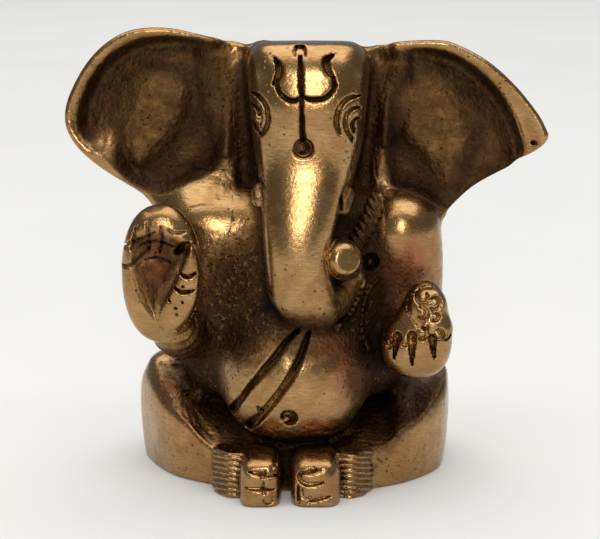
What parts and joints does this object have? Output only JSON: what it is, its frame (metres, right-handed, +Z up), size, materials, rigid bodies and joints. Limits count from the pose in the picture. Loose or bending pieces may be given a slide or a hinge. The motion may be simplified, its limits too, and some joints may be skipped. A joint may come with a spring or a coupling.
{
  "type": "ganesha idol",
  "caption": "Small seated elephant-headed brass devotional figure with wide ears, a curled trunk, one raised palm and one hand holding sweets, flat underneath.",
  "frame": {"origin": "on the ground under the middle of the figure's bounding box", "axes": "+X to the figure's left hand, -Y out of its front, +Z up"},
  "size_m": [0.0534, 0.028, 0.0498],
  "materials": {
    "polished_brass": "hand filed and handled high spots, satin with fine scratches, dark wax in the engraving",
    "tarnished_brass": "as-cast grainy brass with dark brown patina in the hollows",
    "reddish_brass": "satin brass with a reddish bloom on the edges and dark patina in the creases"
  },
  "bodies": {
    "root": {"head": "polished_brass", "belly": "polished_brass", "right_foot": "polished_brass", "left_foot": "polished_brass", "trunk": "polished_brass", "trunk_tip": "polished_brass", "right_tusk": "polished_brass", "left_tusk": "polished_brass", "right_hand": "polished_brass", "right_thumb": "polished_brass", "left_hand": "polished_brass", "sweets": "polished_brass", "sash": "polished_brass", "seat": "tarnished_brass", "torso": "tarnished_brass", "right_arm": "tarnished_brass", "left_arm": "tarnished_brass", "right_ear": "tarnished_brass", "left_ear": "tarnished_brass", "garland": "tarnished_brass", "right_bracelet": "tarnished_brass", "right_leg": "reddish_brass", "left_leg": "reddish_brass", "right_anklet": "reddish_brass", "left_anklet": "reddish_brass"}
  },
  "joints": []
}
